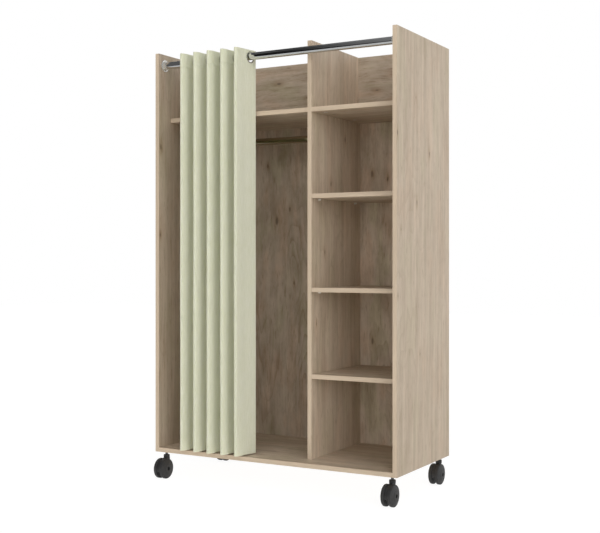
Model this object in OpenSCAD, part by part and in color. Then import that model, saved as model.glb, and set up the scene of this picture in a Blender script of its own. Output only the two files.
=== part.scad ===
// Curtain wardrobe: a board carcass on four twin-wheel castors, with a hanging space behind an
// eyelet curtain on the left and a column of shelves on the right.
// Millimetres, +Z up. The origin is on the floor under the middle of the whole outline.
// Carcass coordinates: x from the left outer face, y from the sides' front edges going back,
// z from the carcass underside. Castor coordinates: x, y from the swivel axis, z from the floor.

/* [Carcass] */
// Overall width over both side panels
body_w = 1000; // [800:10:1400]
// Overall depth of the carcass, back panels included
body_d = 470; // [400:5:620]
// Height of the carcass without the castors
body_h = 1507; // [1420:1:2000]
// Thickness of the boards
board_t = 16; // [15:0.5:20]
// Thickness of the back panels
back_t = 3; // [2.5:0.5:6]
// How far the divider and the shelves stand back from the sides' front edges
setback = 75; // [73:1:110]
// Clear width of the shelf column
column_w = 350; // [250:5:420]
// How far the back panels stay inside the carcass outline
back_margin = 1; // [0.5:0.5:5]
// Gap between the two back panels behind the divider
back_seam = 1; // [0.5:0.5:3]

/* [Shelves] */
// Height of the open bays between the fixed shelves and the top of the carcass
top_bay_h = 238; // [210:1:300]
// Top of the upper adjustable shelf
upper_shelf_z = 961; // [840:1:1100]
// Top of the middle adjustable shelf
middle_shelf_z = 627; // [500:1:760]
// Top of the lower adjustable shelf
lower_shelf_z = 319; // [200:1:420]
// Play at each end of an adjustable shelf
shelf_play = 0.5; // [0.2:0.1:1]
// Diameter of a shelf pin's shank
pin_d = 5; // [4:0.5:6]
// Depth of a shelf pin's hole in the board
pin_hole_l = 9.5; // [7:0.5:11]
// Length of a shelf pin's nose under the shelf
pin_nose_l = 7; // [5:0.5:12]
// How far the front shelf pins stand behind the shelf's front edge
pin_front = 56; // [30:1:90]
// How far the back shelf pins stand before the back panel
pin_back = 50; // [30:1:90]

/* [Fittings] */
// Diameter of a cam lock
cam_d = 15; // [12:0.5:18]
// How far a cam lock's centre lies from the joined face
cam_reach = 34; // [24:1:40]
// How far a cam lock reaches past the middle of the board
cam_past = 4.3; // [4:0.1:6]
// Diameter of a cam bolt
bolt_d = 6; // [5:0.5:7]
// Depth of a cam bolt in a side or bottom panel
bolt_in = 10.5; // [8:0.5:12]
// Diameter of a wooden dowel
dowel_d = 8; // [6:0.5:9]
// Length of a wooden dowel
dowel_l = 32; // [25:1:40]
// Depth of a dowel in a side or bottom panel
dowel_in = 10; // [8:0.5:12]
// Distance from a cam bolt to its dowel
dowel_off = 32; // [20:1:40]
// How far the front fittings stand behind the shelves' front edge
fit_front = 44; // [42:1:70]
// How far the back fittings stand before the back panels
fit_back = 117; // [100:1:140]
// How far the fittings of a back rail stand from its long edges
fit_rail = 60; // [50:1:80]
// Play round a cam lock, bolt or dowel in its hole
fit_play = 0.15; // [0.1:0.05:0.3]

/* [Rails] */
// Diameter of the curtain rod and the hanging rail
rod_d = 27; // [20:1:28]
// Wall of both tubes
rod_wall = 1.2; // [0.8:0.1:2]
// Curtain rod's axis behind the sides' front edges
rod_y = 37; // [34:1:40]
// Curtain rod's axis below the top of the carcass
rod_drop = 42.5; // [36:0.5:60]
// Hanging rail's axis below the hat shelf
hang_drop = 71; // [50:1:100]
// Hanging rail's axis behind the sides' front edges
hang_y = 271; // [240:1:300]
// Diameter of a rail flange
flange_d = 46; // [42:1:60]
// Thickness of a rail flange's disc
flange_t = 2.5; // [2:0.5:4]
// Length of a rail flange's collar
collar_l = 12; // [8:1:18]
// Wall of a rail flange's collar
collar_wall = 2.4; // [1.5:0.1:4]

/* [Curtain] */
// Number of front folds
folds = 5; // [3:1:8]
// Distance from one front fold to the next
fold_pitch = 59.3; // [52:0.1:66]
// First front fold from the left outer face
fold_x = 145; // [130:1:180]
// How far the front folds stand out before the sides' front edges
fold_proud = 37; // [32:1:50]
// Rearmost line of the back folds behind the sides' front edges
fold_back = 70; // [66:0.5:72]
// Radius of a fold, at the middle of the cloth
fold_r = 6.5; // [4:0.5:8]
// Rear edges of the cloth behind the sides' front edges
cloth_end_y = 66; // [64:0.5:70]
// Thickness of the cloth
cloth_t = 1.2; // [0.8:0.1:1.5]
// Height of the cloth above the curtain rod's axis
header_h = 24; // [21:0.5:34]
// Gap between the hem and the bottom panel
hem_gap = 5; // [3:1:40]
// Inner diameter of an eyelet
eyelet_d = 34; // [32:1:37]
// Width of an eyelet's rim
eyelet_rim = 4; // [3.5:0.5:6.5]
// Thickness of one half of an eyelet
eyelet_t = 1.5; // [1:0.1:2]
// Play of the cloth in an eyelet's groove
groove_play = 0.3; // [0.2:0.05:0.5]
// Gap between an eyelet and the top of the rod it hangs on
eyelet_gap = 0.3; // [0.2:0.05:0.6]

/* [Castors] */
// Height of a castor from the floor to the carcass
castor_h = 100; // [92:1:130]
// Diameter of a castor wheel
wheel_d = 75; // [60:1:80]
// Width of a castor wheel
wheel_w = 12; // [10:0.5:16]
// How far a wheel's outer face bulges
wheel_bulge = 6.5; // [4:0.5:7.5]
// Width of the hood between the wheels
hood_w = 13; // [12:0.5:18]
// Side play between the hood and a wheel
wheel_play = 0.5; // [0.3:0.1:1]
// How far the axle trails behind the swivel axis
castor_trail = 20; // [17:0.5:24]
// Swivel axis from the outer faces of the carcass
castor_inset = 30; // [28:1:50]
// Diameter of the swivel neck
neck_d = 23; // [18:0.5:24]
// Length of stem that shows above the neck
stem_show = 13; // [6:0.5:16]
// Diameter of the stem in the carcass
stem_d = 10; // [8:0.5:12]
// Diameter of the stem's pin in the neck
stem_pin_d = 8; // [6:0.5:8]
// Depth of the stem in the bottom panel
stem_in = 13; // [10:0.5:13.5]
// Diameter of a castor axle
axle_d = 8; // [6:0.5:10]
// Radial play of the axle and of the swivel pin
bearing_play = 0.05; // [0.02:0.01:0.1]

/* [Hidden] */
$fn = 64;
carcass_d = body_d - back_t;
origin_y = (body_d - fold_proud) / 2;
fixed_shelf_z = body_h - top_bay_h;
column_x = body_w - board_t - column_w;
divider_x = column_x - board_t;
rail_z0 = fixed_shelf_z;
rod_z = body_h - rod_drop;
hang_z = fixed_shelf_z - board_t - hang_drop;
rod_fit = 0.1;

// Angle of a flank of cloth off the depth axis, from two fold circles and their inner tangent
fold_front_c = -fold_proud + cloth_t / 2 + fold_r;
fold_back_c = fold_back - cloth_t / 2 - fold_r;
fold_run = fold_back_c - fold_front_c;
fold_half = fold_pitch / 2;
fold_lean = atan(fold_half / fold_run);
fold_cross = asin(2 * fold_r / sqrt(fold_half * fold_half + fold_run * fold_run));
flank_a = fold_lean - fold_cross;
arc_a = 90 - flank_a;
arc_steps = 10;
curtain_z0 = board_t + hem_gap;
curtain_z1 = rod_z + header_h;

// Eyelets: web and rim radii, and the drop from the rod's axis to an eyelet's centre
eyelet_r = eyelet_d / 2;
web_t = 1.3;
groove_half = cloth_t / 2 + groove_play;
cloth_hole_r = eyelet_r + web_t + groove_play;
eyelet_z = rod_z + rod_d / 2 + eyelet_gap - eyelet_r;

// Castors
wheel_r = wheel_d / 2;
hood_r = wheel_r - 3.5;
neck_z0 = wheel_d + 0.7;
neck_z1 = castor_h - stem_show;
stem_seat = 0.3;
pin_z0 = wheel_r + 22;
insert_wall = 2;
insert_flange_t = 1;
hub_r = 6.5;
hub_floor = wheel_w * 0.6;
face_r = wheel_r - 5;

// Places of the four castors: front left, front right, back left, back right
CASTORS = [
    [castor_inset, castor_inset],
    [body_w - castor_inset, castor_inset],
    [castor_inset, body_d - castor_inset],
    [body_w - castor_inset, body_d - castor_inset]
];

// Fittings of one joint: origin on the joined face at the board's middle, local x into the board,
// local z towards the face that the cam lock is let into, then the bolt's depth in the other board
UNDER_L = [180, 0, 0];
UNDER_R = [0, 180, 0];
BACK_L = [-90, 0, 0];
BACK_R = [90, 0, 180];
UPRIGHT = [0, -90, 0];
fit_ys = [setback + fit_front, carcass_d - fit_back];
fit_zs = [rail_z0 + fit_rail, body_h - fit_rail];
shelf_mid = fixed_shelf_z - board_t / 2;
rail_mid = carcass_d - board_t / 2;
far_x = body_w - board_t;
HAT_L = [for (y = fit_ys) [[board_t, y, shelf_mid], UNDER_L, bolt_in]];
HAT_R = [for (y = fit_ys) [[divider_x, y, shelf_mid], UNDER_R, board_t / 2]];
COL_L = [for (y = fit_ys) [[column_x, y, shelf_mid], UNDER_L, board_t / 2]];
COL_R = [for (y = fit_ys) [[far_x, y, shelf_mid], UNDER_R, bolt_in]];
BOTTOM_L = [for (y = fit_ys) [[board_t, y, board_t / 2], UNDER_L, bolt_in]];
BOTTOM_R = [for (y = fit_ys) [[far_x, y, board_t / 2], UNDER_R, bolt_in]];
DIVIDER_B = [for (y = fit_ys) [[divider_x + board_t / 2, y, board_t], UPRIGHT, bolt_in]];
RAIL1_L = [for (z = fit_zs) [[board_t, rail_mid, z], BACK_L, bolt_in]];
RAIL1_R = [for (z = fit_zs) [[divider_x, rail_mid, z], BACK_R, board_t / 2]];
RAIL2_L = [for (z = fit_zs) [[column_x, rail_mid, z], BACK_L, board_t / 2]];
RAIL2_R = [for (z = fit_zs) [[far_x, rail_mid, z], BACK_R, bolt_in]];
ALL_FITTINGS = concat(HAT_L, HAT_R, COL_L, COL_R, BOTTOM_L, BOTTOM_R, DIVIDER_B,
    RAIL1_L, RAIL1_R, RAIL2_L, RAIL2_R);

// Shelf pins stand on the divider's right face and on the right panel's inner face
ADJUSTABLE = [lower_shelf_z, middle_shelf_z, upper_shelf_z];
pin_ys = [setback + pin_front, carcass_d - pin_back];
pin_collar_t = 1;
pin_rest = 2.5;

// Puts carcass coordinates into the part's own frame
module carcass() {
    translate([-body_w / 2, -origin_y, castor_h]) children();
}

// Puts castor coordinates at castor number i
module castor(i) {
    translate([CASTORS[i][0] - body_w / 2, CASTORS[i][1] - origin_y, 0]) children();
}

// A board from its low corner and its size
module board(at, size) {
    translate(at) cube(size);
}

// Cylinder along +X from x0 to x1
module bar(x0, x1, d) {
    translate([x0, 0, 0]) rotate([0, 90, 0]) cylinder(d = d, h = x1 - x0);
}

module at_fittings(list) {
    for (f = list) translate(f[0]) rotate(f[1]) children();
}

// Holes in the board that holds the cam locks
module cam_side_holes(list) {
    at_fittings(list) {
        translate([cam_reach, 0, -cam_past - fit_play])
            cylinder(d = cam_d + 2 * fit_play, h = board_t);
        bar(-1, cam_reach, bolt_d + 2 * fit_play);
        translate([0, dowel_off, 0])
            bar(-1, dowel_l - dowel_in + fit_play, dowel_d + 2 * fit_play);
    }
}

// Holes in the board that the cam bolts and dowels stand in
module bolt_side_holes(list) {
    for (f = list) translate(f[0]) rotate(f[1]) {
        bar(-f[2] - fit_play, 1, bolt_d + 2 * fit_play);
        translate([0, dowel_off, 0]) bar(-dowel_in - fit_play, 1, dowel_d + 2 * fit_play);
    }
}

// Shelf pin holes in a face at x, running towards dir
module pin_holes(x, dir) {
    for (y = pin_ys, z = ADJUSTABLE)
        translate([x, y, z - board_t - pin_rest]) rotate([0, 90 * dir, 0])
            translate([0, 0, -1]) cylinder(d = pin_d + 2 * fit_play, h = pin_hole_l + 1);
}

module left_side_panel() {
    color("tan") carcass() difference() {
        board([0, 0, 0], [board_t, carcass_d, body_h]);
        bolt_side_holes(concat(HAT_L, BOTTOM_L, RAIL1_L));
    }
}

module right_side_panel() {
    color("tan") carcass() difference() {
        board([far_x, 0, 0], [board_t, carcass_d, body_h]);
        bolt_side_holes(concat(COL_R, BOTTOM_R, RAIL2_R));
        pin_holes(far_x, 1);
    }
}

module divider_panel() {
    color("tan") carcass() difference() {
        board([divider_x, setback, board_t], [board_t, carcass_d - setback, body_h - board_t]);
        bolt_side_holes(concat(HAT_R, COL_L, RAIL1_R, RAIL2_L));
        cam_side_holes(DIVIDER_B);
        pin_holes(column_x, -1);
    }
}

module bottom_panel() {
    color("tan") carcass() difference() {
        board([board_t, 0, 0], [far_x - board_t, carcass_d, board_t]);
        cam_side_holes(concat(BOTTOM_L, BOTTOM_R));
        bolt_side_holes(DIVIDER_B);
        for (c = CASTORS) translate([c[0], c[1], -1])
            cylinder(d = stem_d + 2 * insert_wall + 4 * fit_play, h = stem_in + fit_play + 1);
    }
}

// A shelf between x0 and x1 with its top at z
module shelf(x0, x1, z) {
    board([x0, setback, z - board_t], [x1 - x0, carcass_d - setback, board_t]);
}

module hat_shelf() {
    color("tan") carcass() difference() {
        shelf(board_t, divider_x, fixed_shelf_z);
        cam_side_holes(concat(HAT_L, HAT_R));
    }
}

module column_top_shelf() {
    color("tan") carcass() difference() {
        shelf(column_x, far_x, fixed_shelf_z);
        cam_side_holes(concat(COL_L, COL_R));
    }
}

module adjustable_shelf(z) {
    color("tan") carcass() shelf(column_x + shelf_play, far_x - shelf_play, z);
}

module upper_shelf() {
    adjustable_shelf(upper_shelf_z);
}

module middle_shelf() {
    adjustable_shelf(middle_shelf_z);
}

module lower_shelf() {
    adjustable_shelf(lower_shelf_z);
}

// An upright board at the back, from the fixed shelf to the top of the carcass
module back_rail(x0, x1) {
    board([x0, carcass_d - board_t, rail_z0], [x1 - x0, board_t, body_h - rail_z0]);
}

module hanging_back_rail() {
    color("tan") carcass() difference() {
        back_rail(board_t, divider_x);
        cam_side_holes(concat(RAIL1_L, RAIL1_R));
    }
}

module column_back_rail() {
    color("tan") carcass() difference() {
        back_rail(column_x, far_x);
        cam_side_holes(concat(RAIL2_L, RAIL2_R));
    }
}

// A thin panel nailed on behind, from the bottom to the middle of the fixed shelf
module back_panel(x0, x1) {
    board([x0, carcass_d, back_margin], [x1 - x0, back_t, shelf_mid - back_margin]);
}

module hanging_back_panel() {
    color("tan") carcass() back_panel(back_margin, divider_x + (board_t - back_seam) / 2);
}

module column_back_panel() {
    color("tan") carcass()
        back_panel(divider_x + (board_t + back_seam) / 2, body_w - back_margin);
}

// A tube with its axis through [y, z], its ends seated on the flanges' discs
module rail_tube(x0, x1, y, z) {
    translate([0, y, z]) difference() {
        bar(x0 + flange_t, x1 - flange_t, rod_d);
        bar(x0, x1, rod_d - 2 * rod_wall);
    }
}

// A rail flange on a face at x: a disc with a rounded edge and a collar, opening towards dir
module rail_flange(x, y, z, dir) {
    inner = rod_d / 2 + rod_fit;
    outer = inner + collar_wall;
    round_r = flange_t / 2;
    translate([x, y, z]) rotate([0, 90 * dir, 0]) rotate_extrude($fn = 96) {
        square([flange_d / 2 - round_r, flange_t]);
        translate([flange_d / 2 - round_r, round_r]) circle(r = round_r, $fn = 24);
        polygon([
            [inner, flange_t / 2],
            [outer + 1, flange_t / 2],
            [outer + 1, flange_t],
            [outer, flange_t + 1],
            [outer, flange_t + collar_l - 0.8],
            [outer - 0.8, flange_t + collar_l],
            [inner, flange_t + collar_l]
        ]);
    }
}

module curtain_rod() {
    color("silver") carcass() rail_tube(board_t, far_x, rod_y, rod_z);
}

module curtain_rod_flange_left() {
    color("gainsboro") carcass() rail_flange(board_t, rod_y, rod_z, 1);
}

module curtain_rod_flange_right() {
    color("gainsboro") carcass() rail_flange(far_x, rod_y, rod_z, -1);
}

module hanging_rail() {
    color("silver") carcass() rail_tube(board_t, divider_x, hang_y, hang_z);
}

module hanging_rail_flange_left() {
    color("gainsboro") carcass() rail_flange(board_t, hang_y, hang_z, 1);
}

module hanging_rail_flange_right() {
    color("gainsboro") carcass() rail_flange(divider_x, hang_y, hang_z, -1);
}

// One shelf pin on a face at x = 0: shank to -x, collar and nose to +x with a flat seat on top
module shelf_pin() {
    collar_d = pin_d + 4;
    nose_d = pin_d + 2;
    difference() {
        union() {
            bar(0.5 - pin_hole_l, pin_collar_t, pin_d);
            bar(0, pin_collar_t, collar_d);
            bar(pin_collar_t / 2, pin_nose_l, nose_d);
            translate([pin_nose_l, 0, 0]) rotate([0, 90, 0])
                cylinder(d1 = nose_d, d2 = nose_d - 2, h = 1);
        }
        translate([0, -collar_d, pin_rest]) cube([pin_nose_l + 2, 2 * collar_d, collar_d]);
    }
}

module shelf_pins() {
    color("whitesmoke") carcass() for (y = pin_ys, z = ADJUSTABLE) {
        translate([column_x, y, z - board_t - pin_rest]) shelf_pin();
        translate([far_x, y, z - board_t - pin_rest]) rotate([0, 0, 180]) shelf_pin();
    }
}

// A cam lock in its board: a drum with a passage for the bolt's head and a cross slot on its face
module cam_lock() {
    slot_l = cam_d * 0.6;
    slot_w = 1.6;
    slot_h = 2;
    translate([cam_reach, 0, 0]) difference() {
        translate([0, 0, -cam_past]) cylinder(d = cam_d, h = board_t / 2 + cam_past);
        bar(-cam_d, cam_d / 4, bolt_d + 2 * fit_play);
        translate([-slot_l / 2, -slot_w / 2, board_t / 2 - slot_h])
            cube([slot_l, slot_w, slot_h + 1]);
        translate([-slot_w / 2, -slot_l / 2, board_t / 2 - slot_h])
            cube([slot_w, slot_l, slot_h + 1]);
    }
}

module cam_locks() {
    color("lightgray") carcass() at_fittings(ALL_FITTINGS) cam_lock();
}

// A cam bolt: shank with a narrow neck behind the head that the cam lock grips
module cam_bolts() {
    head_l = 3;
    neck_l = 4;
    color("silver") carcass() for (f = ALL_FITTINGS) translate(f[0]) rotate(f[1]) {
        bar(-f[2], cam_reach - head_l - neck_l, bolt_d);
        bar(cam_reach - head_l - neck_l - 1, cam_reach - head_l + 1, bolt_d / 2);
        bar(cam_reach - head_l, cam_reach, bolt_d);
    }
}

module dowels() {
    chamfer = 1;
    color("burlywood") carcass() at_fittings(ALL_FITTINGS) translate([0, dowel_off, 0]) {
        bar(chamfer - dowel_in, dowel_l - dowel_in - chamfer, dowel_d);
        translate([-dowel_in, 0, 0]) rotate([0, 90, 0])
            cylinder(d1 = dowel_d - 2 * chamfer, d2 = dowel_d, h = chamfer);
        translate([dowel_l - dowel_in - chamfer, 0, 0]) rotate([0, 90, 0])
            cylinder(d1 = dowel_d, d2 = dowel_d - 2 * chamfer, h = chamfer);
    }
}

// Threaded inserts in the bottom panel, with a flange under it
module castor_inserts() {
    outer = stem_d + 2 * insert_wall + 2 * fit_play;
    color("silver") for (i = [0 : 3]) castor(i) translate([0, 0, castor_h]) difference() {
        union() {
            cylinder(d = outer, h = stem_in);
            translate([0, 0, -insert_flange_t]) cylinder(d = outer + 5, h = insert_flange_t);
        }
        translate([0, 0, -insert_flange_t - 1])
            cylinder(d = stem_d + 2 * fit_play, h = stem_in + insert_flange_t + 2);
    }
}

// Stems: threaded into the inserts above, a smooth pin in the hood's neck below
module castor_stems() {
    color("silver") for (i = [0 : 3]) castor(i) {
        translate([0, 0, pin_z0]) cylinder(d = stem_pin_d, h = neck_z1 + stem_seat + 1 - pin_z0);
        translate([0, 0, neck_z1 + stem_seat])
            cylinder(d = stem_d, h = castor_h + stem_in - neck_z1 - stem_seat);
    }
}

// Side outline of the hood: a disc behind the wheels' rims, cut off below the axle, and the root
// of the neck with a gusset on each side
module hood_outline() {
    cut_z = wheel_r - axle_d / 2 - 6;
    half = neck_d / 2;
    difference() {
        translate([-castor_trail, wheel_r]) circle(r = hood_r, $fn = 120);
        translate([-castor_trail - 2 * hood_r, cut_z - 2 * hood_r]) square([4 * hood_r, 2 * hood_r]);
    }
    polygon([
        [-castor_trail, wheel_r],
        [-castor_trail, wheel_r + hood_r],
        [-half, neck_z0],
        [-half, neck_z0 + 1],
        [half, neck_z0 + 1],
        [half, neck_z0],
        [half, wheel_r + hood_r / 2],
        [0, wheel_r]
    ]);
}

module castor_hood(i) {
    rim = 1.2;
    color("dimgray") castor(i) difference() {
        union() {
            translate([-hood_w / 2, 0, 0]) rotate([90, 0, 90])
                linear_extrude(height = hood_w) hood_outline();
            translate([0, 0, neck_z0]) cylinder(d = neck_d, h = neck_z1 - rim - neck_z0);
            translate([0, 0, neck_z1 - rim]) cylinder(d1 = neck_d, d2 = neck_d - 2 * rim, h = rim);
        }
        translate([0, 0, pin_z0 - stem_seat])
            cylinder(d = stem_pin_d + 2 * bearing_play, h = castor_h);
        translate([-hood_w, -castor_trail, wheel_r]) rotate([0, 90, 0])
            cylinder(d = axle_d + 2 * bearing_play, h = 2 * hood_w);
    }
}

module castor_axle(i) {
    reach = hood_w / 2 + wheel_play + hub_floor + 1.5;
    color("silver") castor(i) translate([0, -castor_trail, wheel_r]) bar(-reach, reach, axle_d);
}

// Distance of the bulging outer face from a wheel's inner face, at radius r
function face_z(r) = wheel_w + wheel_bulge * (1 - r * r / (face_r * face_r));

// A stretch of the outer face from radius r0 in to r1
function face_points(r0, r1) = [for (j = [0 : 4]) let (r = r0 + (r1 - r0) * j / 4) [r, face_z(r)]];

// Half section of a wheel, radius against distance from its inner face: flat inside, a rounded
// tread, a bulging outer face with two ring grooves, and a recess round the axle's end
module wheel_section() {
    bore_r = axle_d / 2 + bearing_play;
    shoulder = 3;
    groove = 0.8;
    groove_r = face_r * 0.58;
    polygon(concat(
        [[bore_r, 0], [wheel_r - 2, 0]],
        [for (a = [-60 : 30 : 0]) [wheel_r - 2 + 2 * cos(a), 2 + 2 * sin(a)]],
        [for (a = [0 : 15 : 75])
            [wheel_r - shoulder + shoulder * cos(a), wheel_w - shoulder + shoulder * sin(a)]],
        [[face_r + groove, wheel_w], [face_r, wheel_w - groove]],
        face_points(face_r - groove, groove_r + groove),
        [[groove_r, face_z(groove_r) - groove]],
        face_points(groove_r - groove, hub_r + groove),
        [[hub_r, face_z(hub_r) - groove], [hub_r, hub_floor], [bore_r, hub_floor]]
    ));
}

// One wheel of castor i, on side -1 or 1 of the hood
module castor_wheel(i, side) {
    color("dimgray") castor(i)
        translate([side * (hood_w / 2 + wheel_play), -castor_trail, wheel_r])
            rotate([0, 90 * side, 0]) rotate_extrude($fn = 128) wheel_section();
}

// Left and right flank points and one face of the cloth, side 1 to the front and -1 to the back
function flank_s(y) = (y - fold_front_c + fold_r * sin(flank_a)) / cos(flank_a);
function flank_x(k, hand, y) =
    fold_x + k * fold_pitch + hand * (fold_r * cos(flank_a) + flank_s(y) * sin(flank_a));
function front_arc(k, side) = [for (j = [0 : arc_steps])
    let (a = -arc_a + 2 * arc_a * j / arc_steps, r = fold_r + side * cloth_t / 2)
        [fold_x + k * fold_pitch + r * sin(a), fold_front_c - r * cos(a)]];
function back_arc(k, side) = [for (j = [0 : arc_steps])
    let (a = arc_a - 2 * arc_a * j / arc_steps, r = fold_r - side * cloth_t / 2)
        [fold_x + (k + 0.5) * fold_pitch - r * sin(a), fold_back_c + r * cos(a)]];
function cloth_end(k, hand, side) =
    [flank_x(k, hand, cloth_end_y) + side * hand * cos(flank_a) * cloth_t / 2,
        cloth_end_y - side * sin(flank_a) * cloth_t / 2];
function cloth_face(side) = concat(
    [cloth_end(0, -1, side)],
    [for (k = [0 : folds - 1])
        each concat(front_arc(k, side), k < folds - 1 ? back_arc(k, side) : [])],
    [cloth_end(folds - 1, 1, side)]
);
function reversed(list) = [for (i = [len(list) - 1 : -1 : 0]) list[i]];

// Eyelet number n counts from the left: odd ones on left flanks, even ones on right flanks
function eyelet_hand(n) = n % 2 == 1 ? -1 : 1;
function eyelet_x(n) = flank_x(floor((n - 1) / 2), eyelet_hand(n), rod_y);

module at_eyelet(n) {
    translate([eyelet_x(n), rod_y, eyelet_z]) rotate([0, 0, -eyelet_hand(n) * flank_a])
        rotate([0, 90, 0]) children();
}

module curtain() {
    color("lightyellow") carcass() difference() {
        translate([0, 0, curtain_z0]) linear_extrude(height = curtain_z1 - curtain_z0)
            polygon(concat(cloth_face(1), reversed(cloth_face(-1))));
        for (n = [1 : 2 * folds]) at_eyelet(n)
            translate([0, 0, -eyelet_t - groove_half])
                cylinder(r = cloth_hole_r, h = 2 * (eyelet_t + groove_half));
    }
}

// An eyelet: two rims joined by a web, the cloth's edge in the groove between them
module eyelet(n) {
    edge = 0.6;
    rim_r = eyelet_r + eyelet_rim;
    face = groove_half + eyelet_t;
    half_section = [
        [eyelet_r, 0],
        [eyelet_r, face - edge],
        [eyelet_r + edge, face],
        [rim_r - 2 * edge, face],
        [rim_r, face - edge],
        [rim_r, groove_half],
        [eyelet_r + web_t, groove_half],
        [eyelet_r + web_t, 0]
    ];
    color("silver") carcass() at_eyelet(n) rotate_extrude($fn = 96) {
        polygon(concat(half_section, [for (p = reversed(half_section)) [p[0], -p[1]]]));
    }
}

left_side_panel();
right_side_panel();
divider_panel();
bottom_panel();
hat_shelf();
column_top_shelf();
upper_shelf();
middle_shelf();
lower_shelf();
hanging_back_rail();
column_back_rail();
hanging_back_panel();
column_back_panel();
curtain_rod();
curtain_rod_flange_left();
curtain_rod_flange_right();
hanging_rail();
hanging_rail_flange_left();
hanging_rail_flange_right();
shelf_pins();
cam_locks();
cam_bolts();
dowels();
castor_inserts();
castor_stems();
castor_hood(0);  // castor_front_left_hood
castor_axle(0);  // castor_front_left_axle
castor_wheel(0, -1);  // castor_front_left_wheel_left
castor_wheel(0, 1);  // castor_front_left_wheel_right
castor_hood(1);  // castor_front_right_hood
castor_axle(1);  // castor_front_right_axle
castor_wheel(1, -1);  // castor_front_right_wheel_left
castor_wheel(1, 1);  // castor_front_right_wheel_right
castor_hood(2);  // castor_back_left_hood
castor_axle(2);  // castor_back_left_axle
castor_wheel(2, -1);  // castor_back_left_wheel_left
castor_wheel(2, 1);  // castor_back_left_wheel_right
castor_hood(3);  // castor_back_right_hood
castor_axle(3);  // castor_back_right_axle
castor_wheel(3, -1);  // castor_back_right_wheel_left
castor_wheel(3, 1);  // castor_back_right_wheel_right
curtain();
eyelet(1);  // eyelet_01
eyelet(2);  // eyelet_02
eyelet(3);  // eyelet_03
eyelet(4);  // eyelet_04
eyelet(5);  // eyelet_05
eyelet(6);  // eyelet_06
eyelet(7);  // eyelet_07
eyelet(8);  // eyelet_08
eyelet(9);  // eyelet_09
eyelet(10);  // eyelet_10
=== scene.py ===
"""Looks of the curtain wardrobe: oak boards, chrome rails, castors and a green eyelet curtain.

Metres in the row frame. Carcass sizes are millimetres from its left, front and lower faces.
"""

import math
import random

import bmesh
import bpy
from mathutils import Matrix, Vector, noise


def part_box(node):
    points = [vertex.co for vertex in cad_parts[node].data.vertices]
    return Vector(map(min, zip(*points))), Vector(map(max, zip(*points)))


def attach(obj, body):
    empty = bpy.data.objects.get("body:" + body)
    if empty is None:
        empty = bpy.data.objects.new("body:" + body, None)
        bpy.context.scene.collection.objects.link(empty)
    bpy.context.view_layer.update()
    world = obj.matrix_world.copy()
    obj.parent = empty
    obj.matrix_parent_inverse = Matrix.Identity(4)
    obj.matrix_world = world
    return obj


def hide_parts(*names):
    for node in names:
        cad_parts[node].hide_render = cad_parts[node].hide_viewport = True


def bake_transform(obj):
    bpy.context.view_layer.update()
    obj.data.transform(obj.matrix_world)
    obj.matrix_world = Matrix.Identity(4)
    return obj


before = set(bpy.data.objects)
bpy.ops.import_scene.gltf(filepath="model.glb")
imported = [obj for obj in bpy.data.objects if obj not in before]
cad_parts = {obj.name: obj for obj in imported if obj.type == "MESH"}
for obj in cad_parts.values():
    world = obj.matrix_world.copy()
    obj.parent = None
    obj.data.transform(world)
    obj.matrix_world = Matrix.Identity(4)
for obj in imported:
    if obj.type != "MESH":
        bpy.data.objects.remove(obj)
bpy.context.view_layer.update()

MM = 0.001

# The row frame's origin in carcass millimetres
ORIGIN_X, ORIGIN_Y, ORIGIN_Z = 500.0, 216.5, -100.0


def carcass(x, y, z):
    """A point in carcass millimetres, brought into the row frame."""
    return Vector(((x - ORIGIN_X) * MM, (y - ORIGIN_Y) * MM, (z - ORIGIN_Z) * MM))


# ---- node trees -------------------------------------------------------------------------------


class Value:
    """An output socket. Sums, products and powers of values add Math nodes to their tree."""

    def __init__(self, nodes, socket):
        self.nodes = nodes
        self.socket = socket

    def calc(self, operation, *others):
        operands = dict(enumerate((self, *others)))
        return self.nodes.add("ShaderNodeMath", {"operation": operation}, operands)

    def __add__(self, other):
        return self.calc("ADD", other)

    def __sub__(self, other):
        return self.calc("SUBTRACT", other)

    def __mul__(self, other):
        return self.calc("MULTIPLY", other)

    def __truediv__(self, other):
        return self.calc("DIVIDE", other)

    def __pow__(self, other):
        return self.calc("POWER", other)

    def __rsub__(self, other):
        return self.nodes.add("ShaderNodeMath", {"operation": "SUBTRACT"}, {0: other, 1: self})

    def __abs__(self):
        return self.calc("ABSOLUTE")

    __radd__ = __add__

    def rise(self, low, high):
        """0 below low, 1 above high, smooth between them."""
        return self.nodes.add(
            "ShaderNodeMapRange", {"interpolation_type": "SMOOTHSTEP"},
            {"Value": self, "From Min": low, "From Max": high},
        )

    def out(self, name):
        """Another output of the same node."""
        return Value(self.nodes, self.socket.node.outputs[name])


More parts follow.
